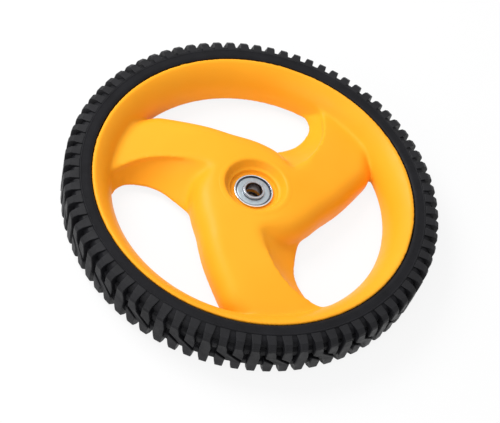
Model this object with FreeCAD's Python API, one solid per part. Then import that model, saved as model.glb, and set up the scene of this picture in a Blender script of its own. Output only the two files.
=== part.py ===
import FreeCAD
import Part
import math
import os

from FreeCAD import Vector

os.makedirs("parts", exist_ok=True)

# Frame: millimetres, +Z along the axle towards the dished front, origin at the wheel's centre.
up = Vector(0, 0, 1)
centre = Vector(0, 0, 0)
inch = 25.4

# Size of the whole wheel: 14 in across, 1.75 in wide
wheel_d = 14 * inch
tyre_w = 1.75 * inch
wheel_r = wheel_d / 2
half_w = tyre_w / 2
spokes = 3

# Bearing: 5/8 in bore, 1-3/8 in outside, 7/16 in wide, flanged, with a long inner ring
axle_d = 5 / 8 * inch
bearing_od = 1.375 * inch
bearing_w = 7 / 16 * inch
bore_r = axle_d / 2
seat_r = bearing_od / 2
flange_r = seat_r + 1.3
flange_t = 2.0
race_len = bearing_w - flange_t
race_mid = (flange_t - race_len) / 2
race_half = 3.3
collar_r = 10.2
collar_rise = 2.6
ball_r = 7 / 32 * inch / 2
balls = 9
pitch_r = 13.0
ball_gap = 0.05
land_in = 11.2
land_out = 14.7
cage_in = 12.1
cage_out = 13.8
cage_half = 3.3
pocket_gap = 0.12
shield_t = 0.6
shield_gap = 0.35
shield_sink = 0.9
shield_r = 15.5
shield_bevel = 0.4
press_gap = 0.02
face_round = 0.6

# Rim
tyre_h = 25.3
lip_r = wheel_r - tyre_h
lip_sink = 0.9
lip_z = half_w - lip_sink
lip_round = 1.4
lip_land = 2.9
flange_wall = 4.5
bed_drop = 4.5
bed_r = lip_r - bed_drop
bed_z = lip_z - flange_wall
bed_wall = 3.5
dish_wall = 3.4
dish_foot_in = 22.8
dish_foot_r = lip_r - dish_foot_in
dish_mid_in = 18.5
dish_mid_r = lip_r - dish_mid_in
dish_mid_z = 5.0
pocket_top = 13.0
edge_drop = 18.0
web_t = 3.6
ribs = 24
rib_t = 2.6

# Dome over the spokes, given as height at three radii
dome_in_r = 1.0
crown_z = 19.6
shoulder_r = 84.0
shoulder_z = 9.7
root_in = 16.0
root_r = lip_r - root_in
dome_lap = 4.0
dome_out_r = root_r + dome_lap
dome_out_z = 1.9

# Hub
hub_r = 24.0
hub_front = 4.1
hub_back = -18.0
recess_r = 29.7
recess_step_r = 22.4
recess_step = 3.65
recess_draft = 0.8
bore_gap = 1.6
core_r = 46.0
core_low = -4.0
core_lap = 0.5
crease_lap = 1.0

# Spoke outline: radius as a share of root_r, angle counter-clockwise from the sharp window tip
tip_angle = 30.0
lead_points = [(1, 7.2), (0.928, 3.8), (0.833, -0.5), (0.653, -12.8), (0.526, -27.5), (0.464, -47.5), (0.428, -70),
               (0.387, -90), (0.33, -106)]
crease_points = [(0.261, 20), (0.377, 22.5), (0.507, 25.5), (0.652, 29.5), (0.797, 35), (0.942, 43), (1, 47)]
foot_points = [(0.445, 73), (0.497, 59.6), (0.561, 50.9), (0.632, 46), (0.717, 44), (0.812, 44.1), (0.884, 45.6),
               (0.94, 49.3), (1, 56.5)]
edge_round = 17.0
skirt_inset = 4.0
flank_lap = 1.5
flank_sink = 1.0

# Tyre
bead_gap = 0.03
bead_t = 6.5
side_gap = 0.7
side_foot_r = lip_r + side_gap
side_rise = 2.8
side_low_r = side_foot_r + side_rise
side_flat = 7.5
side_high_r = side_low_r + side_flat
lug_depth = 6.4
floor_r = wheel_r - lug_depth
floor_z = 16.5
tie_rise = 2.8
tie_r = floor_r + tie_rise
tie_in = 5.0
tie_out = 11.5
tie_slope = 1.0
tyre_wall = 6.6
cavity_r = floor_r - tyre_wall
cavity_z = 7.0
shoulder_drop = 2.0
shoulder_in = 2.9
shoulder_edge_r = floor_r - shoulder_in

# Lugs: outer profile as (depth below wheel_r, z in from half_w), then widths along the tread
lug_profile = [(5.2, 0.6), (1.0, 3.4), (0, 5.6)]
lug_units = 26
lug_pitch = 360 / lug_units / 3
lug_w = 8.2
lug_tip_w = 5.6
lug_taper = 1.2
lug_bend = 6.0
lug_tip_z = 18.5
lug_full_z = 14.5
lug_end = 5.0
lug_skew = 6.5
lug_over = 2.0


def polar(radius, angle, z=0.0):
    a = math.radians(angle)
    return Vector(radius * math.cos(a), radius * math.sin(a), z)


def spline(points):
    curve = Part.BSplineCurve()
    curve.interpolate(points)
    return curve.toShape()


def line(a, b):
    return Part.makeLine(a, b)


def turn(shape, angle):
    copy = shape.copy()
    copy.rotate(centre, up, angle)
    return copy


def revolve(edges):
    face = Part.Face(Part.Wire(edges))
    return face.revolve(centre, up, 360)


def section(points):
    # closed polygon of (radius, z) pairs
    corners = [Vector(r, 0, z) for r, z in points]
    return [line(a, b) for a, b in zip(corners, corners[1:] + corners[:1])]


def ring(r_in, r_out, z_low, z_high):
    return revolve(section([(r_in, z_low), (r_out, z_low), (r_out, z_high), (r_in, z_high)]))


def disc(radius, z_low, z_high):
    return Part.makeCylinder(radius, z_high - z_low, up * z_low)


def domeArc(drop):
    return Part.Arc(Vector(dome_in_r, 0, crown_z - drop), Vector(shoulder_r, 0, shoulder_z - drop),
                    Vector(dome_out_r, 0, dome_out_z - drop)).toShape()


def dome(drop, z_low):
    # everything under the spoke dome, lowered by drop, down to z_low
    arc = domeArc(drop)
    inner, outer = arc.Vertexes[0].Point, arc.Vertexes[1].Point
    low_in = Vector(inner.x, 0, z_low)
    low_out = Vector(outer.x, 0, z_low)
    return revolve([arc, line(outer, low_out), line(low_out, low_in), line(low_in, inner)])


def domeHeight(radius):
    circle = domeArc(0).Curve
    return circle.Center.z + math.sqrt(circle.Radius ** 2 - (radius - circle.Center.x) ** 2)


def outline(points, turned_by):
    return [polar(share * root_r, angle + turned_by) for share, angle in points]


def spokeBlock(inset_lead, inset_crease, drop, z_low, rounding):
    # solid under the spoke's crown, its clockwise top edge rounded
    lead = outline(lead_points, inset_lead)
    crease = outline(crease_points, -inset_crease)
    middle = (lead_points[0][1] + crease_points[-1][1]) / 2
    outer = Part.Arc(crease[-1], polar(root_r, middle), lead[0]).toShape()
    lead_edge = spline(lead)
    wire = Part.Wire([lead_edge, line(lead[-1], centre), line(centre, crease[0]), spline(crease), outer])
    prism = Part.Face(wire).extrude(up * tyre_w)
    prism.translate(up * z_low)
    block = prism.common(dome(drop, z_low))
    wanted = []
    for edge in block.Edges:
        mid = edge.valueAt((edge.FirstParameter + edge.LastParameter) / 2)
        flat = Part.Vertex(Vector(mid.x, mid.y, 0))
        if mid.z > z_low + web_t and edge.Length > rounding and lead_edge.distToShape(flat)[0] < bead_gap:
            wanted.append(edge)
    return block.makeFillet(rounding, wanted)


def flankSlab():
    # sloping wall from the crease down to the next window's edge
    high = [p + up * (domeHeight(p.Length) - flank_sink) for p in outline(crease_points, -flank_lap)]
    low = [p - up * (edge_drop - web_t) for p in outline(foot_points, 0)]
    top = Part.makeRuledSurface(spline(high), spline(low))
    slab = top.extrude(up * -web_t)
    return slab.cut(disc(core_r - web_t / 2, -half_w, half_w))


def dishArc(offset, top):
    # hollow of the dish, moved out by offset, from its foot up to the point top
    foot = Vector(dish_foot_r + offset, 0, -edge_drop)
    return Part.Arc(foot, Vector(dish_mid_r + offset, 0, dish_mid_z), top).toShape()


def rimRing():
    # lips, tyre bed and dished wall in one turned section, open at the back
    lip_in = Vector(lip_r - lip_land, 0, lip_z)
    pocket = Vector(bed_r - bed_wall, 0, pocket_top)
    outside = [lip_in, Vector(lip_r, 0, lip_z), Vector(lip_r, 0, bed_z), Vector(bed_r, 0, bed_z),
               Vector(bed_r, 0, -bed_z), Vector(lip_r, 0, -bed_z), Vector(lip_r, 0, -lip_z),
               Vector(pocket.x, 0, -lip_z), pocket]
    edges = [line(a, b) for a, b in zip(outside, outside[1:])]
    back = dishArc(dish_wall, pocket)
    front = dishArc(0, lip_in)
    foot = line(back.Vertexes[0].Point, front.Vertexes[0].Point)
    body = revolve(edges + [back, foot, front])
    rounded = []
    for edge in body.Edges:
        spot = edge.valueAt(edge.FirstParameter)
        far = math.hypot(spot.x, spot.y)
        if far > lip_r - lip_land - bead_gap and abs(abs(spot.z) - lip_z) < bead_gap:
            rounded.append(edge)
    return body.makeFillet(lip_round, rounded)


def backRibs():
    # thin radial walls in the pocket behind the dish
    reach = dish_wall / 2
    top = Vector(bed_r - bed_wall + reach, 0, pocket_top + reach)
    slope = dishArc(reach, top)
    foot = slope.Vertexes[0].Point
    corner = Vector(top.x, 0, foot.z)
    pocket = revolve([slope, line(top, corner), line(corner, foot)])
    wall = Part.makeBox(bed_r, rib_t, tyre_w, Vector(0, -rib_t / 2, -half_w)).common(pocket)
    return [turn(wall, 360 / ribs * (i + 0.5)) for i in range(ribs)]


def hubTube():
    # tube for both bearings, with the stepped bowl at the front
    rim_top = domeHeight(recess_r)
    bowl_r = recess_r + web_t
    tube_in = bore_r + bore_gap
    tube = revolve(section([(tube_in, hub_back), (hub_r, hub_back), (hub_r, hub_front - web_t),
                            (bowl_r, rim_top - web_t), (bowl_r, domeHeight(bowl_r)), (recess_r, rim_top),
                            (recess_step_r + recess_draft, hub_front + recess_step), (recess_step_r, hub_front),
                            (tube_in, hub_front)]))
    seat = seat_r + press_gap
    front_seat = disc(seat, hub_front - race_len, half_w)
    back_seat = disc(seat, -half_w, hub_back + race_len)
    return tube.cut(front_seat).cut(back_seat)


def wheelRim():
    core = dome(0, core_low).common(ring(recess_r + core_lap, core_r, -half_w, half_w))
    hollow = dome(web_t, -half_w).common(ring(hub_r, core_r - web_t, -half_w, half_w))
    outer = spokeBlock(0, 0, 0, -edge_drop, edge_round)
    inner = spokeBlock(skirt_inset, -crease_lap, web_t, -half_w, edge_round - web_t)
    spoke = outer.cut(inner).fuse(flankSlab())
    web = turn(spoke, tip_angle)
    for i in range(1, spokes):
        web = web.fuse(turn(spoke, tip_angle + 360 / spokes * i))
    web = web.fuse(core.cut(hollow)).cut(disc(recess_r, -half_w, half_w))
    return rimRing().fuse(web).fuse(hubTube()).multiFuse(backRibs())


def ballTrack():
    return Part.makeTorus(pitch_r, ball_r + ball_gap, centre, up).translated(up * race_mid)


def outerRing():
    # bearing's outer ring: flange from z = 0 up, body below it
    front_ledge = flange_t - shield_sink - shield_t
    back_ledge = shield_sink + shield_t - race_len
    body = revolve(section([(land_out, back_ledge), (shield_r, back_ledge), (shield_r, -race_len),
                            (seat_r, -race_len), (seat_r, 0), (flange_r, 0), (flange_r, flange_t - face_round),
                            (flange_r - face_round, flange_t), (shield_r + face_round, flange_t),
                            (shield_r, flange_t - face_round), (shield_r, front_ledge), (land_out, front_ledge)]))
    return body.cut(ballTrack())


def innerRing():
    # long inner ring: its collar stands above the front shield
    top = flange_t - shield_sink + collar_rise
    body = revolve(section([(bore_r, -race_len), (collar_r, -race_len), (collar_r, race_mid - race_half),
                            (land_in, race_mid - race_half), (land_in, race_mid + race_half),
                            (collar_r, race_mid + race_half), (collar_r, top - face_round),
                            (collar_r - face_round, top), (bore_r + face_round, top), (bore_r, top - face_round)]))
    return body.cut(ballTrack())


def ballAt(i):
    return Part.makeSphere(ball_r, polar(pitch_r, 360 / balls * i, race_mid))


def cageRing():
    # retainer with one radial pocket for each ball
    body = ring(cage_in, cage_out, race_mid - cage_half, race_mid + cage_half)
    pockets = []
    for i in range(balls):
        out = polar(1, 360 / balls * i)
        pockets.append(Part.makeCylinder(ball_r + pocket_gap, cage_out, up * race_mid, out))
    return body.cut(pockets)


def shield(z_outer, towards):
    # thin washer pressed into the outer ring; towards is +1 for the front face
    rim = shield_r - press_gap
    return revolve(section([(collar_r + shield_gap, z_outer), (rim - shield_bevel, z_outer),
                            (rim, z_outer - towards * shield_bevel), (rim, z_outer - towards * shield_t),
                            (collar_r + shield_gap, z_outer - towards * shield_t)]))


def bearing():
    pieces = {"outer_ring": outerRing(), "inner_ring": innerRing(), "cage": cageRing(),
              "outer_shield": shield(flange_t - shield_sink, 1), "inner_shield": shield(shield_sink - race_len, -1)}
    for i in range(balls):
        pieces["ball_%d" % (i + 1)] = ballAt(i)
    return pieces


def mirrored(points):
    # (radius, z) points of the front half, then the same of the back half in reverse
    return points + [(r, -z) for r, z in reversed(points)]


def tyreCarcass():
    # body of the tyre, with a low tie bar along each row of lugs
    bead_z = bed_z - bead_gap
    foot = bed_r + bead_gap
    half = [(foot, bead_z - bead_t), (foot, bead_z), (side_foot_r, bead_z), (side_foot_r, lip_z - face_round),
            (side_low_r, half_w), (side_high_r, half_w), (shoulder_edge_r, half_w - shoulder_drop),
            (floor_r, floor_z), (floor_r, tie_out + tie_slope), (tie_r, tie_out), (tie_r, tie_in),
            (floor_r, tie_in - tie_slope)]
    hollow = [(cavity_r, -cavity_z), (cavity_r, cavity_z)]
    return revolve(section(mirrored(half) + hollow))


def lugBand():
    # room for the lugs: their outer profile over the tread
    half = [(side_high_r, half_w)] + [(wheel_r - depth, half_w - z) for depth, z in lug_profile]
    under = [(shoulder_edge_r - shoulder_drop, shoulder_drop + lug_over - half_w),
             (shoulder_edge_r - shoulder_drop, half_w - shoulder_drop - lug_over)]
    return revolve(section(mirrored(half) + under))


def frontEnd(u):
    # left and right edges of a lug's shoulder end, as (offset along the tread, z), from the sidewall inwards
    left, right = u - lug_w / 2, u + lug_w / 2
    beyond = half_w + lug_over
    return [(left, beyond), (left, lug_full_z)], [(left + lug_tip_w, beyond), (left + lug_tip_w, lug_tip_z),
                                                  (right, lug_full_z)]


def backEnd(u):
    # the same at the back, turned half round, from the middle outwards
    left, right = frontEnd(-u)
    return [(-a, -z) for a, z in reversed(right)], [(-a, -z) for a, z in reversed(left)]


def lug(left, right, band):
    # block between two edges, tapering towards its head
    def loop(radius, grow):
        corners = [(a - grow, z) for a, z in left] + [(a + grow, z) for a, z in reversed(right)]
        return Part.makePolygon([Vector(radius, a, z) for a, z in corners + corners[:1]])
    low = loop(side_high_r - lug_over, lug_taper)
    high = loop(wheel_r + lug_over, 0)
    return Part.makeLoft([low, high], True, True).common(band)


def tyre():
    # each unit has a lug that crosses over to the next place, a straight one and a short one on each side
    band = lugBand()
    step = math.radians(lug_pitch) * wheel_r / 2
    half = lug_w / 2
    front, back = frontEnd(-step), backEnd(step)
    cross = lug(front[0] + [(-step - half, lug_bend), (step - half, -lug_bend)] + back[0],
                front[1] + [(-step + half, lug_bend), (step + half, -lug_bend)] + back[1], band)
    front, back = frontEnd(0), backEnd(0)
    straight = lug(front[0] + back[0], front[1] + back[1], band)
    short = lug(front[0] + [(-half, lug_end)], front[1] + [(half, lug_end - lug_skew)], band)
    short_back = lug([(-half, lug_skew - lug_end)] + back[0], [(half, -lug_end)] + back[1], band)
    unit = [turn(cross, lug_pitch / 2), turn(short, lug_pitch), turn(straight, 2 * lug_pitch), short_back]
    lugs = [turn(one, 3 * lug_pitch * i) for i in range(lug_units) for one in unit]
    return tyreCarcass().multiFuse(lugs)


def save(shape, name):
    shape.exportStep("parts/%s.step" % name)


save(wheelRim(), "wheel_rim")
save(tyre(), "tyre")
for name, shape in bearing().items():
    front = shape.translated(up * hub_front)
    back = shape.copy()
    back.rotate(centre, Vector(1, 0, 0), 180)
    back.translate(up * hub_back)
    save(front, "front_" + name)
    save(back, "back_" + name)
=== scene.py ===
import bpy
import bmesh
import math
import numpy as np
from mathutils import Matrix, Vector


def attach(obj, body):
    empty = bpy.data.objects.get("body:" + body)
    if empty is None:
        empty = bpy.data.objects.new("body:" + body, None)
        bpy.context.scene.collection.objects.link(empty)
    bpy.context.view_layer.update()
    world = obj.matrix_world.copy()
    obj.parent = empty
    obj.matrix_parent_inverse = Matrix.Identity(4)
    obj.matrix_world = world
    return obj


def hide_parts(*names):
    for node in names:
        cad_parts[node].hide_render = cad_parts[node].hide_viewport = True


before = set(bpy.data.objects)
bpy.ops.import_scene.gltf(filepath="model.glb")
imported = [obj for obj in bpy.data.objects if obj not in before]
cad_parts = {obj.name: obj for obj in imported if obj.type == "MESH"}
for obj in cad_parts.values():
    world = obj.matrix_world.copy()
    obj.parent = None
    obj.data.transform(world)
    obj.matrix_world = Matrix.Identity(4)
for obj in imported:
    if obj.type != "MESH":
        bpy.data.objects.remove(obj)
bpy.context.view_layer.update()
print("frame loaded:", len(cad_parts), "nodes")

mm = 0.001
scene = bpy.context.scene
scene.view_settings.view_transform = "Standard"


# small helpers for mesh work
def newObject(name, mesh):
    obj = bpy.data.objects.new(name, mesh)
    scene.collection.objects.link(obj)
    return obj


def meshFrom(name, verts, faces, smooth=True):
    mesh = bpy.data.meshes.new(name)
    mesh.from_pydata([tuple(c * mm for c in v) for v in verts], [], faces)
    mesh.validate()
    if smooth:
        mesh.polygons.foreach_set("use_smooth", [True] * len(mesh.polygons))
    mesh.update()
    return mesh


def lathe(profile, steps):
    # closed (radius, z) outline turned round the axle
    verts, faces = [], []
    n = len(profile)
    for i in range(steps):
        a = 2 * math.pi * i / steps
        verts += [(r * math.cos(a), r * math.sin(a), z) for r, z in profile]
    for i in range(steps):
        j = (i + 1) % steps
        for k in range(n):
            m = (k + 1) % n
            faces.append((i * n + k, j * n + k, j * n + m, i * n + m))
    return verts, faces


def roundCorners(points, radii, steps=5):
    # rounds the corners of a closed (radius, z) outline
    out = []
    n = len(points)
    for i in range(n):
        p = np.array(points[i], float)
        size = radii[i] if isinstance(radii, (list, tuple)) else radii
        before = np.array(points[i - 1], float) - p
        after = np.array(points[(i + 1) % n], float) - p
        lenA, lenB = np.linalg.norm(before), np.linalg.norm(after)
        cut = min(size, lenA * 0.45, lenB * 0.45)
        if cut < 1e-4:
            out.append(tuple(p))
            continue
        a, b = p + before / lenA * cut, p + after / lenB * cut
        for k in range(steps + 1):
            t = k / steps
            out.append(tuple((1 - t) ** 2 * a + 2 * t * (1 - t) * p + t * t * b))
    return out


def joinParts(parts):
    verts, faces = [], []
    for v, f in parts:
        base = len(verts)
        verts += list(v)
        faces += [tuple(i + base for i in face) for face in f]
    return verts, faces


def turned(part, degrees):
    a = math.radians(degrees)
    c, s = math.cos(a), math.sin(a)
    return [(x * c - y * s, x * s + y * c, z) for x, y, z in part[0]], part[1]


def gridFaces(rows, cols):
    return [(i * cols + j, i * cols + j + 1, (i + 1) * cols + j + 1, (i + 1) * cols + j)
            for i in range(rows - 1) for j in range(cols - 1)]


def curveThrough(points, count):
    # even samples of a smooth curve through the points
    pts = np.array(points, float)
    pad = np.vstack([2 * pts[0] - pts[1], pts, 2 * pts[-1] - pts[-2]])
    chord = np.concatenate([[0], np.cumsum(np.linalg.norm(np.diff(pts, axis=0), axis=1))])
    out = []
    for d in np.linspace(0, chord[-1], count):
        k = min(int(np.searchsorted(chord, d, side="right")) - 1, len(pts) - 2)
        t = (d - chord[k]) / (chord[k + 1] - chord[k])
        p0, p1, p2, p3 = pad[k:k + 4]
        out.append(0.5 * (2 * p1 + (p2 - p0) * t + (2 * p0 - 5 * p1 + 4 * p2 - p3) * t * t
                          + (3 * p1 - p0 - 3 * p2 + p3) * t ** 3))
    return np.array(out)


def polar(radius, degrees, z=0.0):
    a = math.radians(degrees)
    return (radius * math.cos(a), radius * math.sin(a), z)


def facesOut(mesh):
    edit = bmesh.new()
    edit.from_mesh(mesh)
    bmesh.ops.recalc_face_normals(edit, faces=edit.faces)
    edit.to_mesh(mesh)
    edit.free()


# finishes
def shaderBase(name):
    mat = bpy.data.materials.new(name)
    mat.use_nodes = True
    tree = mat.node_tree
    return mat, tree, tree.nodes["Principled BSDF"]


def addNode(tree, kind, **values):
    node = tree.nodes.new(kind)
    for key, value in values.items():
        setattr(node, key, value)
    return node


def noiseAt(tree, scale, detail=4.0, rough=0.55, stretch=None):
    place = addNode(tree, "ShaderNodeTexCoord")
    noise = addNode(tree, "ShaderNodeTexNoise")
    noise.inputs["Scale"].default_value = scale
    noise.inputs["Detail"].default_value = detail
    noise.inputs["Roughness"].default_value = rough
    if stretch:
        scaler = addNode(tree, "ShaderNodeMapping")
        scaler.inputs["Scale"].default_value = stretch
        tree.links.new(place.outputs["Object"], scaler.inputs["Vector"])
        tree.links.new(scaler.outputs["Vector"], noise.inputs["Vector"])
    else:
        tree.links.new(place.outputs["Object"], noise.inputs["Vector"])
    return noise


def rampOf(tree, source, stops):
    ramp = addNode(tree, "ShaderNodeValToRGB")
    while len(ramp.color_ramp.elements) < len(stops):
        ramp.color_ramp.elements.new(0.5)
    for element, (at, colour) in zip(ramp.color_ramp.elements, stops):
        element.position = at
        element.color = (*colour, 1)
    tree.links.new(source, ramp.inputs["Fac"])
    return ramp


def bumpFrom(tree, height, strength, distance, below=None):
    bump = addNode(tree, "ShaderNodeBump")
    bump.inputs["Strength"].default_value = strength
    bump.inputs["Distance"].default_value = distance
    tree.links.new(height, bump.inputs["Height"])
    if below:
        tree.links.new(below.outputs["Normal"], bump.inputs["Normal"])
    return bump


def toneFrom(tree, shader, noise, stops):
    tone = rampOf(tree, noise.outputs["Fac"], stops)
    tree.links.new(tone.outputs["Color"], shader.inputs["Base Color"])


def roughFrom(tree, shader, noise, low, high):
    rough = rampOf(tree, noise.outputs["Fac"], [(0.3, (low,) * 3), (0.7, (high,) * 3)])
    tree.links.new(rough.outputs["Color"], shader.inputs["Roughness"])


# in the paints a noise is (scale, detail, roughness) and a bump is (strength, distance in metres)
rimPaint = {
    "light": (1.0, 0.43, 0.022),
    "deep": (1.0, 0.385, 0.014),
    "roughLow": 0.36,
    "roughHigh": 0.50,
    "cloud": (9.0, 3.0),
    "wear": (60.0, 5.0),
    "flow": (28.0, 2.0),
    "flowBump": (0.06, 0.002),
    "grain": (2200.0, 2.0),
    "grainBump": (0.05, 0.0002),
    "index": 1.49,
    "sheen": 0.15,
}


def rimPlastic():
    p = rimPaint
    mat, tree, shader = shaderBase("amberMoulding")
    toneFrom(tree, shader, noiseAt(tree, *p["cloud"]), [(0.3, p["deep"]), (0.7, p["light"])])
    roughFrom(tree, shader, noiseAt(tree, *p["wear"]), p["roughLow"], p["roughHigh"])
    flow = noiseAt(tree, *p["flow"])
    grain = noiseAt(tree, *p["grain"])
    waves = bumpFrom(tree, flow.outputs["Fac"], *p["flowBump"])
    skin = bumpFrom(tree, grain.outputs["Fac"], *p["grainBump"], waves)
    tree.links.new(skin.outputs["Normal"], shader.inputs["Normal"])
    shader.inputs["IOR"].default_value = p["index"]
    shader.inputs["Specular IOR Level"].default_value = p["sheen"]
    return mat


tyrePaint = {
    "dark": (0.0045, 0.0045, 0.0056),
    "worn": (0.0105, 0.0105, 0.0128),
    "roughLow": 0.40,
    "roughHigh": 0.60,
    "cloud": (45.0, 6.0, 0.65),
    "patch": (120.0, 4.0),
    "pits": (900.0, 5.0, 0.7),
    "pitBump": (0.22, 0.0005),
    "wallSheen": 0.11,
    "lugSheen": 0.19,
}


def tyreRubber(name, sheen):
    p = tyrePaint
    mat, tree, shader = shaderBase(name)
    toneFrom(tree, shader, noiseAt(tree, *p["cloud"]), [(0.32, p["dark"]), (0.72, p["worn"])])
    roughFrom(tree, shader, noiseAt(tree, *p["patch"]), p["roughLow"], p["roughHigh"])
    pits = noiseAt(tree, *p["pits"])
    skin = bumpFrom(tree, pits.outputs["Fac"], *p["pitBump"])
    tree.links.new(skin.outputs["Normal"], shader.inputs["Normal"])
    shader.inputs["Specular IOR Level"].default_value = sheen
    return mat


# each steel is (colour, lowest roughness, spread of the roughness)
steelPaint = {
    "ring": ((0.70, 0.71, 0.73), 0.14, 0.10),
    # painted shade: the collar's steel is a darker copy of the ring's, standing in for the shade on the
    # inner ring and in its bore
    "collar": ((0.46, 0.47, 0.50), 0.16, 0.12),
    "shield": ((0.40, 0.46, 0.50), 0.32, 0.16),
    # painted shade: near-black steel for the band round the outer shield
    "edge": ((0.09, 0.10, 0.13), 0.30, 0.10),
    "cage": ((0.50, 0.49, 0.46), 0.35, 0.15),
    "ball": ((0.70, 0.71, 0.73), 0.08, 0.06),
    "marks": (420.0, 5.0, 0.6),
    "marksStretch": (1, 1, 6),
    "marksShade": 0.82,
    "fine": (1600.0, 3.0),
    "fineBump": (0.06, 0.0001),
    # painted shade on the bore's wall as a colour multiplier, with the radius where it ends and how far it
    # fades
    "bore": (0.46, 0.40, 0.37),
    "boreEdge": 8.3,
    "boreFade": 0.5,
}


def platedSteel(name, colour, rough, spread):
    p = steelPaint
    mat, tree, shader = shaderBase(name)
    marks = noiseAt(tree, *p["marks"], p["marksStretch"])
    dark = tuple(c * p["marksShade"] for c in colour)
    toneFrom(tree, shader, marks, [(0.3, dark), (0.65, colour)])
    roughFrom(tree, shader, marks, rough, rough + spread)
    fine = noiseAt(tree, *p["fine"])
    skin = bumpFrom(tree, fine.outputs["Fac"], *p["fineBump"])
    tree.links.new(skin.outputs["Normal"], shader.inputs["Normal"])
    shader.inputs["Metallic"].default_value = 1.0
    return mat


def paintBoreShade(mat):
    # painted shade: the bore's wall is darkened below the collar around it, standing in for the shade
    # inside the hole
    tree = mat.node_tree
    shader = tree.nodes["Principled BSDF"]
    polished = shader.inputs["Base Color"].links[0].from_socket
    edge, span = steelPaint["boreEdge"], 2 * steelPaint["boreEdge"]
    place = addNode(tree, "ShaderNodeTexCoord")
    flat = addNode(tree, "ShaderNodeMapping")
    flat.inputs["Scale"].default_value = (1 / (span * mm), 1 / (span * mm), 0)
    tree.links.new(place.outputs["Object"], flat.inputs["Vector"])
    reach = addNode(tree, "ShaderNodeVectorMath", operation="LENGTH")
    tree.links.new(flat.outputs["Vector"], reach.inputs[0])
    stops = [(edge / span, steelPaint["bore"]), ((edge + steelPaint["boreFade"]) / span, (1, 1, 1))]
    shade = rampOf(tree, reach.outputs["Value"], stops)
    blend = addNode(tree, "ShaderNodeMixRGB", blend_type="MULTIPLY")
    blend.inputs["Fac"].default_value = 1.0
    tree.links.new(polished, blend.inputs["Color1"])
    tree.links.new(shade.outputs["Color"], blend.inputs["Color2"])
    tree.links.new(blend.outputs["Color"], shader.inputs["Base Color"])


amber = rimPlastic()
wallRubber = tyreRubber("wallRubber", tyrePaint["wallSheen"])
lugRubber = tyreRubber("lugRubber", tyrePaint["lugSheen"])
ringSteel = platedSteel("brightRing", *steelPaint["ring"])
# painted shade: the collar's steel is darker than the ring's, and its bore is darker still
shadedCollarSteel = platedSteel("dullShadedCollar", *steelPaint["collar"])
paintBoreShade(shadedCollarSteel)
shieldSteel = platedSteel("satinShield", *steelPaint["shield"])
# painted shade: the near-black band round the outer shield
shadeBandSteel = platedSteel("paintedShadeBand", *steelPaint["edge"])
cageSteel = platedSteel("pressedCage", *steelPaint["cage"])
ballSteel = platedSteel("polishedBall", *steelPaint["ball"])
print("finishes made")


# tyre: carcass turned in one piece, lugs swept over the shoulders
tyreSize = {
    "outerR": 177.8,
    "halfW": 22.225,
    "bedR": 148.03,
    "bedZ": 16.795,
    "beadT": 6.5,
    "footR": 153.2,
    "lipZ": 20.7,
    "lowR": 156.0,
    "highR": 163.5,
    "ridge": 0.35,
    "ridgeIn": 0.9,
    "ridgeOut": 0.1,
    "ridgeFoot": 0.5,
    "ridgeBack": 0.6,
    "ridgeDrop": 0.9,
    "boxGap": 0.03,
    "cavityR": 164.8,
    "cavityZ": 7.0,
    "cavityRound": 2.0,
    "edgeR": 168.5,
    "edgeIn": 2.0,
    "floorR": 171.4,
    "floorZ": 16.5,
    "tieR": 174.2,
    "tieOut": 11.5,
    "tieIn": 5.0,
    "tieSlope": 1.0,
    "steps": 312,
    "units": 26,
    "lugW": 9.0,
    "tipW": 6.2,
    "tipZ": 16.5,
    "fullZ": 8.5,
    "taper": 1.5,
    "taperOver": 2.0,
    "taperDepth": 16.8,
    "bend": 6.0,
    "end": 5.0,
    "skew": 6.5,
    "bevel": 0.6,
    "bevelAngle": 32.0,
}
# how far each corner of half the carcass is rounded, from the bead outwards
carcassRound = [0.4, 0.4, 0.3, 0.9, 2.0, 0.3, 0.3, 0.3, 0.3, 1.6, 1.2, 0.4, 0.4, 0.4, 0.4]
# lug stations from the sidewall inwards: top radius, top z, base radius, how far the base lies further in
lugStations = ((164.1, 22.0, 162.4, 1.4), (172.6, 21.5, 166.8, 2.0), (176.8, 18.6, 169.4, 1.4),
               (177.8, 16.0, 170.2, 0.4), (177.8, 12.5, 170.2, 0.0), (177.8, 6.5, 170.2, 0.0))


def tyreCarcass():
    t = tyreSize
    side = t["halfW"] - t["ridge"]
    ridgeTop, ridgeStart = t["halfW"] - t["boxGap"], t["highR"] - t["ridgeIn"]
    bead = [(t["bedR"], t["bedZ"] - t["beadT"]), (t["bedR"], t["bedZ"]), (t["footR"], t["bedZ"]),
            (t["footR"], t["lipZ"])]
    wall = [(t["lowR"], side), (ridgeStart - t["ridgeFoot"], side), (ridgeStart, ridgeTop),
            (t["highR"] - t["ridgeOut"], ridgeTop), (t["highR"] + t["ridgeBack"], side - t["ridgeDrop"])]
    tread = [(t["edgeR"], t["halfW"] - t["edgeIn"]), (t["floorR"], t["floorZ"]),
             (t["floorR"], t["tieOut"] + t["tieSlope"]), (t["tieR"], t["tieOut"]), (t["tieR"], t["tieIn"]),
             (t["floorR"], t["tieIn"] - t["tieSlope"])]
    half = bead + wall + tread
    cavity = [(t["cavityR"], -t["cavityZ"]), (t["cavityR"], t["cavityZ"])]
    outline = half + [(r, -z) for r, z in reversed(half)] + cavity
    radii = carcassRound + carcassRound[::-1] + [t["cavityRound"]] * 2
    return lathe(roundCorners(outline, radii, 3), t["steps"])


def frontEnd(u):
    # shoulder end of a lug, at each station: left, right, their z, top radius, base radius, base shift
    t = tyreSize
    left, right = u - t["lugW"] / 2, u + t["lugW"] / 2
    tip = left + t["tipW"]
    edge = [np.interp(z, (t["fullZ"], t["tipZ"]), (right, tip)) for r, z, base, drop in lugStations]
    return [(left, e, z, z, r, base, drop) for e, (r, z, base, drop) in zip(edge, lugStations)]


def backEnd(u):
    # the same turned half round, from the middle outwards
    return [(-right, -left, -zr, -zl, r, base, -drop)
            for left, right, zl, zr, r, base, drop in reversed(frontEnd(-u))]


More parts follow.
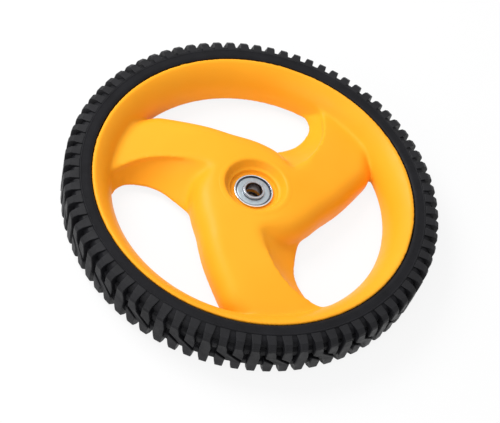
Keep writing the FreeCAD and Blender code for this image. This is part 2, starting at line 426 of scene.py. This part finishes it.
def lugSweep(path):
    t = tyreSize
    verts, faces = [], []
    for left, right, zl, zr, r, base, drop in path:
        for radius, u, side, z in ((r, left, -1, zl), (r, right, 1, zr), (base, right, 1, zr - drop),
                                   (base, left, -1, zl - drop)):
            a = (u + side * t["taper"] * (t["outerR"] + t["taperOver"] - radius) / t["taperDepth"]) / radius
            verts.append((radius * math.cos(a), radius * math.sin(a), z))
    n = len(path)
    for i in range(n - 1):
        for k in range(4):
            m = (k + 1) % 4
            faces.append((i * 4 + k, i * 4 + m, (i + 1) * 4 + m, (i + 1) * 4 + k))
    faces.append((3, 2, 1, 0))
    faces.append(((n - 1) * 4, (n - 1) * 4 + 1, (n - 1) * 4 + 2, (n - 1) * 4 + 3))
    return verts, faces


def lugUnit():
    # one repeat of the tread: crossing lug, short front lug, straight lug, short back lug
    t = tyreSize
    pitch = 360 / t["units"] / 3
    step = math.radians(pitch) * t["outerR"] / 2
    half, top, low = t["lugW"] / 2, t["outerR"], lugStations[-1][2]
    cross = frontEnd(-step)[:-1] + [(-step - half, half - step, t["bend"], t["bend"], top, low, 0),
                                    (step - half, step + half, -t["bend"], -t["bend"], top, low, 0)]
    cross += backEnd(step)[1:]
    straight = frontEnd(0) + backEnd(0)
    short = frontEnd(0) + [(-half, half, t["end"], t["end"] - t["skew"], top, low, 0)]
    shortBack = [(-half, half, t["skew"] - t["end"], -t["end"], top, low, 0)] + backEnd(0)
    places = ((cross, 0.5), (short, 1), (straight, 2), (shortBack, 0))
    return [turned(lugSweep(path), pitch * at) for path, at in places]


def makeTyre():
    t = tyreSize
    body = newObject("tyreCarcass", meshFrom("tyreCarcass", *tyreCarcass()))
    unit = lugUnit()
    lugs = [turned(one, 360 / t["units"] * i) for i in range(t["units"]) for one in unit]
    blocks = newObject("tyreLugs", meshFrom("tyreLugs", *joinParts(lugs), smooth=False))
    facesOut(blocks.data)
    soften = blocks.modifiers.new("edges", "BEVEL")
    soften.width = t["bevel"] * mm
    soften.segments = 2
    soften.limit_method = "ANGLE"
    soften.angle_limit = math.radians(t["bevelAngle"])
    for piece, finish in ((body, wallRubber), (blocks, lugRubber)):
        piece.data.materials.append(finish)
        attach(piece, "wheel")
    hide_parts("tyre")
    print("tyre made:", len(lugs), "lugs")


makeTyre()


# rim: lips and dish, hub, spokes and flanks, blended into one moulding
rimSize = {
    "lipR": 152.5,
    "lipZ": 21.325,
    "lipLand": 2.9,
    "flangeWall": 4.5,
    "bedR": 148.0,
    "bedWall": 3.5,
    "dishWall": 3.4,
    "dishFootR": 132.4,
    "dishMidR": 135.4,
    "dishMidZ": 5.0,
    "pocketTop": 13.0,
    "edgeDrop": 18.0,
    "webT": 3.6,
    "ribs": 24,
    "ribT": 2.6,
    "spokes": 3,
    "spokeStart": 40.0,
    "rootR": 136.5,
    "rootIn": 2.2,
    "rootPast": 2.5,
    "coreR": 46.0,
    "coreGap": 0.6,
    "coreLow": -4.0,
    "edgeRound": 17.0,
    "edgeCrowd": 1.6,
    "tipAngle": 30.0,
    "hubR": 24.0,
    "hubFront": 4.1,
    "hubBack": -18.0,
    "hubReach": 7.0,
    "hubTuck": 0.7,
    "hubLap": 1.6,
    "hubProud": 0.1,
    "recessR": 29.7,
    "bowlOut": 2.4,
    "bowlUp": 1.1,
    "stepR": 22.4,
    "step": 3.65,
    "stepDraft": 0.8,
    "boreR": 9.54,
    "seatR": 17.4825,
    "raceLen": 9.1125,
    "creaseLap": 0.6,
    "flankLap": 1.5,
    "flankSink": 1.0,
    "flankHollow": 0.08,
    "voxel": 1.4,
    "relax": 8,
    "fillet": 14,
    "roots": 100,
    "keep": 0.54,
}
# where the rim's mesh is softened, each from no effect to full: radii, and for dishLow heights
softZones = {
    "dishIn": (108, 128),
    "dishOut": (141, 138),
    "dishLow": (-8, -2),
    "rootOut": (74, 58),
    "rootIn": (40, 44),
}
# how far each corner of the hub's outline is rounded
hubRound = [0, 0, 0.5, 1.0, 2.0, 2.0, 0.4, 0.3, 1.0, 2.6, 2.0, 0.5, 0.5, 0.2, 0, 0]
# the spokes' crown lies on a dome, turned from an arc through these (radius, z) points
domePoints = ((1.0, 19.6), (84.0, 9.7), (140.5, 1.9))


def circleThrough(a, b, c):
    (ax, ay), (bx, by), (cx, cy) = a, b, c
    d = 2 * (ax * (by - cy) + bx * (cy - ay) + cx * (ay - by))
    ux = ((ax**2 + ay**2) * (by - cy) + (bx**2 + by**2) * (cy - ay) + (cx**2 + cy**2) * (ay - by)) / d
    uy = ((ax**2 + ay**2) * (cx - bx) + (bx**2 + by**2) * (ax - cx) + (cx**2 + cy**2) * (bx - ax)) / d
    return ux, uy, math.hypot(ax - ux, ay - uy)


domeX, domeY, domeR = circleThrough(*domePoints)


def domeHeight(radius):
    return domeY + math.sqrt(domeR**2 - (radius - domeX) ** 2)


# spoke lines: radius as a share of rootR, degrees counter-clockwise from tipAngle
leadPoints = ((1, 12.0), (0.928, 5.4), (0.833, 0.2), (0.653, -12.8), (0.526, -27.5), (0.464, -47.5),
              (0.428, -70), (0.387, -90), (0.33, -106))
creasePoints = ((0.261, 20), (0.377, 22.5), (0.507, 25.5), (0.652, 29.5), (0.797, 34.8), (0.942, 41.8),
                (1, 45.6))
footPoints = ((0.445, 73), (0.497, 59.6), (0.561, 50.9), (0.632, 46), (0.717, 44), (0.812, 44.1),
              (0.884, 45.6), (0.94, 49.3), (1, 56.5))


def spokeLine(points, count, shift=0.0):
    return curveThrough([polar(rimSize["rootR"] * share, a + shift)[:2] for share, a in points], count)


def angleOn(curve, radius):
    # angle of a spoke line at a radius
    rr = np.hypot(curve[:, 0], curve[:, 1])
    aa = np.unwrap(np.arctan2(curve[:, 1], curve[:, 0]))
    order = np.argsort(rr)
    return np.interp(radius, rr[order], aa[order])


def dishArc(offset, top):
    # hollow of the dish moved out by offset, from its foot up to the point top
    s = rimSize
    foot = (s["dishFootR"] + offset, -s["edgeDrop"])
    cx, cz, radius = circleThrough(foot, (s["dishMidR"] + offset, s["dishMidZ"]), top)
    start = math.atan2(foot[1] - cz, foot[0] - cx) % (2 * math.pi)
    end = math.atan2(top[1] - cz, top[0] - cx) % (2 * math.pi)
    return [(cx + radius * math.cos(a), cz + radius * math.sin(a)) for a in np.linspace(start, end, 26)]


def rimRing():
    s = rimSize
    bedZ = s["lipZ"] - s["flangeWall"]
    pocketR = s["bedR"] - s["bedWall"]
    front = dishArc(0, (s["lipR"] - s["lipLand"], s["lipZ"]))
    back = dishArc(s["dishWall"], (pocketR, s["pocketTop"]))
    outside = [(s["lipR"], s["lipZ"]), (s["lipR"], bedZ), (s["bedR"], bedZ), (s["bedR"], -bedZ),
               (s["lipR"], -bedZ), (s["lipR"], -s["lipZ"]), (pocketR, -s["lipZ"])]
    return lathe(front + outside + back[::-1], 240)


def rimRibs():
    s = rimSize
    reach = s["dishWall"] / 2
    wall = s["bedR"] - s["bedWall"] + reach
    corners = dishArc(reach, (wall, s["pocketTop"] + reach))[::5] + [(wall, -s["edgeDrop"])]
    half = s["ribT"] / 2
    n = len(corners)
    verts = [(r, side, z) for side in (-half, half) for r, z in corners]
    faces = [tuple(range(n)), tuple(range(2 * n - 1, n - 1, -1))]
    faces += [(k, k + n, (k + 1) % n + n, (k + 1) % n) for k in range(n)]
    return [turned((verts, faces), 360 / s["ribs"] * (i + 0.5)) for i in range(s["ribs"])]


def rimHub():
    # tube and stepped bowl, turned fine, with its outer edge tucked under the crown
    s = rimSize
    top = domeHeight(s["recessR"])
    front, back, web = s["hubFront"], s["hubBack"], s["webT"]
    ledge, edge, outer = s["stepR"] + s["stepDraft"], s["recessR"], s["recessR"] + s["hubReach"]
    lap, proud, shelf = outer - s["hubLap"], s["hubProud"], front + s["step"]
    backSeat, frontSeat = back + s["raceLen"], front - s["raceLen"]
    tube = [(s["boreR"], backSeat), (s["seatR"], backSeat), (s["seatR"], back), (s["hubR"], back)]
    under = [(s["hubR"], front - web), (edge + web, top - web), (outer, domeHeight(outer) - web)]
    crown = [(outer, domeHeight(outer) - s["hubTuck"]), (lap, domeHeight(lap) + proud), (edge, top + proud)]
    bowl = [(ledge + s["bowlOut"], shelf + s["bowlUp"]), (ledge, shelf), (s["stepR"], front),
            (s["seatR"], front), (s["seatR"], frontSeat), (s["boreR"], frontSeat)]
    return lathe(roundCorners(tube + under + crown + bowl, hubRound, 4), 160)


def rimCore():
    s = rimSize
    start, edge, web = s["recessR"] + s["coreGap"], s["coreR"], s["webT"]
    top = [(r, domeHeight(r)) for r in np.linspace(start, edge, 12)]
    under = [(edge, s["coreLow"]), (edge - web, s["coreLow"])]
    inside = [(r, domeHeight(r) - web) for r in np.linspace(edge - web, start, 8)]
    return lathe(top + under + inside, 160)


def spokeSkin():
    # crown of one spoke with its rounded clockwise edge and the skirt below
    s = rimSize
    size = s["edgeRound"]
    lead = spokeLine(leadPoints, 300)
    crease = spokeLine(creasePoints, 200, s["creaseLap"])
    hollow = np.array(dishArc(s["rootIn"], (s["lipR"] - s["lipLand"] + s["rootIn"], s["lipZ"])))
    rows = []
    for radius in np.linspace(s["spokeStart"], s["rootR"] + s["rootPast"], 70):
        start, stop = angleOn(lead, radius), angleOn(crease, radius)
        top = domeHeight(radius)
        row = []
        for drop in np.linspace(1, 0, 6)[:-1]:
            z = -s["edgeDrop"] * drop + (top - size) * (1 - drop)
            r = min(radius, np.interp(z, hollow[:, 1], hollow[:, 0]))
            row.append((r * math.cos(start), r * math.sin(start), z))
        for k in np.linspace(0, 1, 34):
            a = start + (stop - start) * k ** s["edgeCrowd"]
            x, y = radius * math.cos(a), radius * math.sin(a)
            near = min(np.hypot(lead[:, 0] - x, lead[:, 1] - y).min(), size)
            z = top - size + math.sqrt(size ** 2 - (size - near) ** 2)
            r = min(radius, np.interp(z, hollow[:, 1], hollow[:, 0]))
            row.append((r * math.cos(a), r * math.sin(a), z))
        rows.append(row)
    return rows


def flankSkin():
    # slope from the crease down to the next window, a little hollow
    s = rimSize
    high = spokeLine(creasePoints, 48, -s["flankLap"])
    low = spokeLine(footPoints, 48)
    bottom = s["webT"] - s["edgeDrop"]
    rows = []
    for p, q in zip(high, low):
        top = domeHeight(math.hypot(p[0], p[1])) - s["flankSink"]
        row = []
        for k in np.linspace(0, 1, 16):
            fall = k + s["flankHollow"] * math.sin(math.pi * k)
            row.append((p[0] + (q[0] - p[0]) * k, p[1] + (q[1] - p[1]) * k, top + (bottom - top) * fall))
        rows.append(row)
    return rows


def thicken(rows, thickness):
    # closed solid from a skin: the skin, a copy under it and the sides
    grid = np.array(rows)
    du = np.gradient(grid, axis=0)
    dv = np.gradient(grid, axis=1)
    normal = np.cross(du, dv)
    normal /= np.linalg.norm(normal, axis=2, keepdims=True) + 1e-9
    flip = np.where(normal[..., 2].mean() < 0, -1.0, 1.0)
    under = grid - normal * flip * thickness
    n, m = grid.shape[:2]
    verts = [tuple(v) for v in grid.reshape(-1, 3)] + [tuple(v) for v in under.reshape(-1, 3)]
    faces = gridFaces(n, m) + [tuple(i + n * m for i in reversed(f)) for f in gridFaces(n, m)]
    ring = list(range(m)) + [i * m + m - 1 for i in range(1, n)]
    ring += [(n - 1) * m + j for j in range(m - 2, -1, -1)] + [i * m for i in range(n - 2, 0, -1)]
    for a, b in zip(ring, ring[1:] + ring[:1]):
        faces.append((b, a, a + n * m, b + n * m))
    return verts, faces


def rimSolid():
    # one closed mesh from the ring, the core, the ribs and the spokes
    s = rimSize
    parts = [rimRing(), rimCore()] + rimRibs()
    spoke = thicken(spokeSkin(), s["webT"])
    flank = thicken(flankSkin(), s["webT"])
    for i in range(s["spokes"]):
        angle = s["tipAngle"] + 360 / s["spokes"] * i
        parts += [turned(spoke, angle), turned(flank, angle)]
    rough = newObject("rimRough", meshFrom("rimRough", *joinParts(parts)))
    facesOut(rough.data)
    union = rough.modifiers.new("union", "REMESH")
    union.mode = "VOXEL"
    union.voxel_size = s["voxel"] * mm
    solid = bpy.data.meshes.new_from_object(rough.evaluated_get(bpy.context.evaluated_depsgraph_get()))
    bpy.data.objects.remove(rough)
    solid.polygons.foreach_set("use_smooth", [True] * len(solid.polygons))
    return solid


def softShares(mesh):
    # how much each point of the rim is softened, at the dish and at the spoke roots
    spots = np.empty(len(mesh.vertices) * 3)
    mesh.vertices.foreach_get("co", spots)
    spots = spots.reshape(-1, 3) / mm
    reach = np.hypot(spots[:, 0], spots[:, 1])

    def rise(value, zone):
        start, full = softZones[zone]
        return np.clip((value - start) / (full - start), 0, 1)

    fillet = rise(reach, "dishIn") * rise(reach, "dishOut") * rise(spots[:, 2], "dishLow")
    return {"fillet": fillet, "roots": rise(reach, "rootOut") * rise(reach, "rootIn")}


def smoothRim(rim, name, group=""):
    blend = rim.modifiers.new(name, "SMOOTH")
    blend.factor = 0.5
    blend.iterations = rimSize[name]
    blend.vertex_group = group


def makeRim():
    solid = rimSolid()
    rim = newObject("rimMoulding", solid)
    smoothRim(rim, "relax")
    for name, shares in softShares(solid).items():
        group = rim.vertex_groups.new(name=name)
        for i in np.nonzero(shares > 0.02)[0]:
            group.add([int(i)], float(shares[i]), "REPLACE")
        smoothRim(rim, name, name)
    thin = rim.modifiers.new("thin", "DECIMATE")
    thin.ratio = rimSize["keep"]
    hub = newObject("rimHub", meshFrom("rimHub", *rimHub()))
    facesOut(hub.data)
    hub.data.set_sharp_from_angle(angle=math.radians(40))
    for piece in (rim, hub):
        piece.data.materials.clear()
        piece.data.materials.append(amber)
        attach(piece, "wheel")
    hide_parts("wheel_rim")
    print("rim made:", len(solid.polygons), "faces")


makeRim()


# bearings: turned rings and shields; balls and cages stay as they are inside
bearingSize = {
    "boreR": 7.9375,
    "seatR": 17.4625,
    "flangeR": 18.7625,
    "flangeT": 2.0,
    "raceLen": 9.1125,
    "collarR": 10.2,
    "collarTop": 3.7,
    "landIn": 11.2,
    "landOut": 14.7,
    "raceHalf": 3.3,
    "ledgeDepth": 1.5,
    "mouthOut": 0.1,
    "mouthDrop": 0.3,
    "pressGap": 0.02,
    "shieldR": 17.2,
    "shieldIn": 10.55,
    "shieldTop": 1.1,
    "shieldT": 0.6,
    "shieldLip": 0.7,
    "lipDrop": 0.1,
    "slopeStart": 1.8,
    "slopeEnd": 1.3,
    "slopeDrop": 0.5,
    "rimDrop": 0.55,
    "channelW": 1.35,
    "channelSink": 0.47,
    "channelT": 0.1,
    "channelWall": 0.08,
    "channelDrop": 0.35,
    "coverR": 16.4,
    "coverSink": 0.9,
    "coverBevel": 0.4,
    "pitchR": 13.0,
    "ballR": 2.828,
    "steps": 96,
    "sharpAngle": 38.0,
}
raceMid = (bearingSize["flangeT"] - bearingSize["raceLen"]) / 2
# how far each corner of the rings' outlines is rounded
outerRound = [0, 0, 0.3, 0.4, 0, 0.3, 0.7, 0.15, 0.1, 0, 0]
innerRound = [0, 0, 0.5, 0.6, 0.5, 0]
shieldRound = 0.12


def groove(side):
    # ball track as a short arc in the ring's outline
    b = bearingSize
    land = b["landOut"] if side > 0 else b["landIn"]
    half = math.acos(min(1.0, abs(land - b["pitchR"]) / b["ballR"]))
    return [(b["pitchR"] + side * b["ballR"] * math.cos(a), raceMid + b["ballR"] * math.sin(a))
            for a in np.linspace(-half, half, 9)]


def outerRing():
    b = bearingSize
    frontLedge, backLedge = b["shieldTop"] - b["shieldT"], b["ledgeDepth"] - b["raceLen"]
    back = [(b["landOut"], backLedge), (b["coverR"], backLedge), (b["coverR"], -b["raceLen"]),
            (b["seatR"], -b["raceLen"]), (b["seatR"], 0)]
    flange = [(b["flangeR"], 0), (b["flangeR"], b["flangeT"]), (b["shieldR"] + b["mouthOut"], b["flangeT"]),
              (b["shieldR"], b["flangeT"] - b["mouthDrop"]), (b["shieldR"], frontLedge),
              (b["landOut"], frontLedge)]
    return roundCorners(back + flange, outerRound, 4) + groove(1)[::-1]


def innerRing():
    b = bearingSize
    low, high = raceMid - b["raceHalf"], raceMid + b["raceHalf"]
    outline = [(b["landIn"], high), (b["collarR"], high), (b["collarR"], b["collarTop"]),
               (b["boreR"], b["collarTop"]), (b["boreR"], low), (b["landIn"], low)]
    return roundCorners(outline, innerRound, 4) + groove(-1)


def outerShield():
    b = bearingSize
    top, under, rim = b["shieldTop"], b["shieldTop"] - b["shieldT"], b["shieldR"] - b["pressGap"]
    outline = [(b["shieldIn"], top - b["lipDrop"]), (b["shieldIn"] + b["shieldLip"], top),
               (rim - b["slopeStart"], top), (rim - b["slopeEnd"], top - b["slopeDrop"]),
               (rim, top - b["rimDrop"]), (rim, under), (b["shieldIn"], under)]
    return roundCorners(outline, shieldRound, 2)


def shieldShadeBand():
    # painted shade: a near-black band where the outer shield meets the ring, standing in for the shade in
    # that groove
    b = bearingSize
    rim, floor = b["shieldR"] - b["pressGap"], b["shieldTop"] - b["channelSink"]
    start, wall, lip = rim - b["channelW"], rim - b["channelWall"], b["flangeT"] - b["channelDrop"]
    under = floor - b["channelT"]
    return [(start, under), (rim, under), (rim, lip), (wall, lip), (wall, floor), (start, floor)]


def innerShield():
    b = bearingSize
    low, rim, bevel = b["coverSink"] - b["raceLen"], b["coverR"] - b["pressGap"], b["coverBevel"]
    return [(b["shieldIn"], low), (rim - bevel, low), (rim, low + bevel), (rim, low + b["shieldT"]),
            (b["shieldIn"], low + b["shieldT"])]


bearingPieces = {
    "outer_ring": (outerRing, ringSteel, "ring_steel"),
    "inner_ring": (innerRing, shadedCollarSteel, "ring_steel"),
    "outer_shield": (outerShield, shieldSteel, "shield_steel"),
    # the band round the outer shield is painted shade
    "shield_shade_band": (shieldShadeBand, shadeBandSteel, "shield_steel"),
    "inner_shield": (innerShield, shieldSteel, "shield_steel"),
}


def makeBearing(side, seat, flip):
    b = bearingSize
    for part, (outline, finish, slotName) in bearingPieces.items():
        verts, faces = lathe(outline(), b["steps"])
        verts = [(x, y * flip, z * flip + seat) for x, y, z in verts]
        piece = newObject(side + "." + part, meshFrom(side + part, verts, faces))
        facesOut(piece.data)
        piece.data.set_sharp_from_angle(angle=math.radians(b["sharpAngle"]))
        piece.data.materials.append(finish)
        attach(piece, side + "_inner" if part == "inner_ring" else "wheel")
        if part != "shield_shade_band":
            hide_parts(side + "_" + part)


makeBearing("front", rimSize["hubFront"], 1)
makeBearing("back", rimSize["hubBack"], -1)
for name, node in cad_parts.items():
    if "_ball_" in name or name.endswith("_cage"):
        node.data.materials.clear()
        node.data.materials.append(ballSteel if "_ball_" in name else cageSteel)
print("bearings made")


# stage: pale floor, soft light from the upper left, white surround
stageSize = {
    "floorGap": 0.125,
    "floorHalf": 6000.0,
    "floorTone": (0.93, 0.93, 0.935),
    "floorRough": 0.9,
    "floorSheen": 0.05,
    "floorWhite": 0.87,
    "world": 0.42,
}
# lamps as (place in metres, width of the disk, power), all aimed at the middle of the wheel
lamps = {
    "keyLight": ((-1.05, 0.35, 1.15), 0.9, 21.5),
    "fillLight": ((-0.55, -1.35, 0.75), 1.0, 8.0),
    "topLight": ((0.1, 0.2, 1.7), 1.4, 3.0),
}


def plainForCamera(tree, lit, plain, share):
    # camera, mirror and see-through rays get this share of the plain white, the rest gets the lit surface
    path = addNode(tree, "ShaderNodeLightPath")
    mirror = addNode(tree, "ShaderNodeMath", operation="MAXIMUM")
    tree.links.new(path.outputs["Is Glossy Ray"], mirror.inputs[0])
    tree.links.new(path.outputs["Is Transmission Ray"], mirror.inputs[1])
    seen = addNode(tree, "ShaderNodeMath", operation="MAXIMUM")
    tree.links.new(path.outputs["Is Camera Ray"], seen.inputs[0])
    tree.links.new(mirror.outputs["Value"], seen.inputs[1])
    amount = addNode(tree, "ShaderNodeMath", operation="MULTIPLY")
    tree.links.new(seen.outputs["Value"], amount.inputs[0])
    amount.inputs[1].default_value = share
    mix = addNode(tree, "ShaderNodeMixShader")
    tree.links.new(amount.outputs["Value"], mix.inputs["Fac"])
    tree.links.new(lit, mix.inputs[1])
    tree.links.new(plain, mix.inputs[2])
    return mix


def makeFloor():
    s = stageSize
    half, z = s["floorHalf"], -tyreSize["halfW"] - s["floorGap"]
    corners = [(-half, -half, z), (half, -half, z), (half, half, z), (-half, half, z)]
    mesh = meshFrom("floor", corners, [(0, 1, 2, 3)], smooth=False)
    floor = newObject("floor", mesh)
    mat, tree, shader = shaderBase("paleFloor")
    shader.inputs["Base Color"].default_value = (*s["floorTone"], 1)
    shader.inputs["Roughness"].default_value = s["floorRough"]
    shader.inputs["Specular IOR Level"].default_value = s["floorSheen"]
    glow = addNode(tree, "ShaderNodeEmission")
    glow.inputs["Color"].default_value = (1, 1, 1, 1)
    glow.inputs["Strength"].default_value = 1.0
    mix = plainForCamera(tree, shader.outputs["BSDF"], glow.outputs["Emission"], s["floorWhite"])
    tree.links.new(mix.outputs["Shader"], tree.nodes["Material Output"].inputs["Surface"])
    mesh.materials.append(mat)


def makeSurround():
    world = bpy.data.worlds.new("studio")
    scene.world = world
    world.use_nodes = True
    tree = world.node_tree
    soft = tree.nodes["Background"]
    soft.inputs["Color"].default_value = (1, 1, 1, 1)
    soft.inputs["Strength"].default_value = stageSize["world"]
    plain = addNode(tree, "ShaderNodeBackground")
    plain.inputs["Color"].default_value = (1, 1, 1, 1)
    plain.inputs["Strength"].default_value = 1.0
    mix = plainForCamera(tree, soft.outputs["Background"], plain.outputs["Background"], 1.0)
    tree.links.new(mix.outputs["Shader"], tree.nodes["World Output"].inputs["Surface"])


def areaLight(name, place, size, power):
    lamp = bpy.data.lights.new(name, "AREA")
    lamp.shape = "DISK"
    lamp.size = size
    lamp.energy = power
    obj = newObject(name, lamp)
    obj.location = place
    obj.rotation_euler = (-Vector(place)).to_track_quat("-Z", "Y").to_euler()


makeFloor()
makeSurround()
for name, (place, size, power) in lamps.items():
    areaLight(name, place, size, power)
print("stage made")


# camera: worked out from the ellipses of the lip, the bearing and the tread in the 500 x 423 frame
cameraSize = {
    "frameW": 500.0,
    "sensorW": 36.0,
    "focal": 1150.0,
    "elevation": 52.24,
    "roll": 20.01,
    "moveLeft": 2.3,
    "moveDown": 16.235,
    "distance": 1083.05,
}


def makeCamera():
    c = cameraSize
    el, roll = math.radians(c["elevation"]), math.radians(c["roll"])
    right = Vector((1, 0, 0))
    back = Vector((0, -math.cos(el), math.sin(el)))
    up = back.cross(right)
    sideways = right * math.cos(roll) + up * math.sin(roll)
    upwards = -right * math.sin(roll) + up * math.cos(roll)
    place = back * c["distance"] - sideways * c["moveLeft"] - upwards * c["moveDown"]
    data = bpy.data.cameras.new("camera")
    data.sensor_fit = "HORIZONTAL"
    data.sensor_width = c["sensorW"]
    data.lens = c["focal"] * c["sensorW"] / c["frameW"]
    data.clip_start, data.clip_end = 0.05, 50.0
    cam = newObject("camera", data)
    basis = Matrix((sideways, upwards, back)).transposed().to_4x4()
    cam.matrix_world = Matrix.Translation(place * mm) @ basis
    scene.camera = cam


makeCamera()
print("camera set")
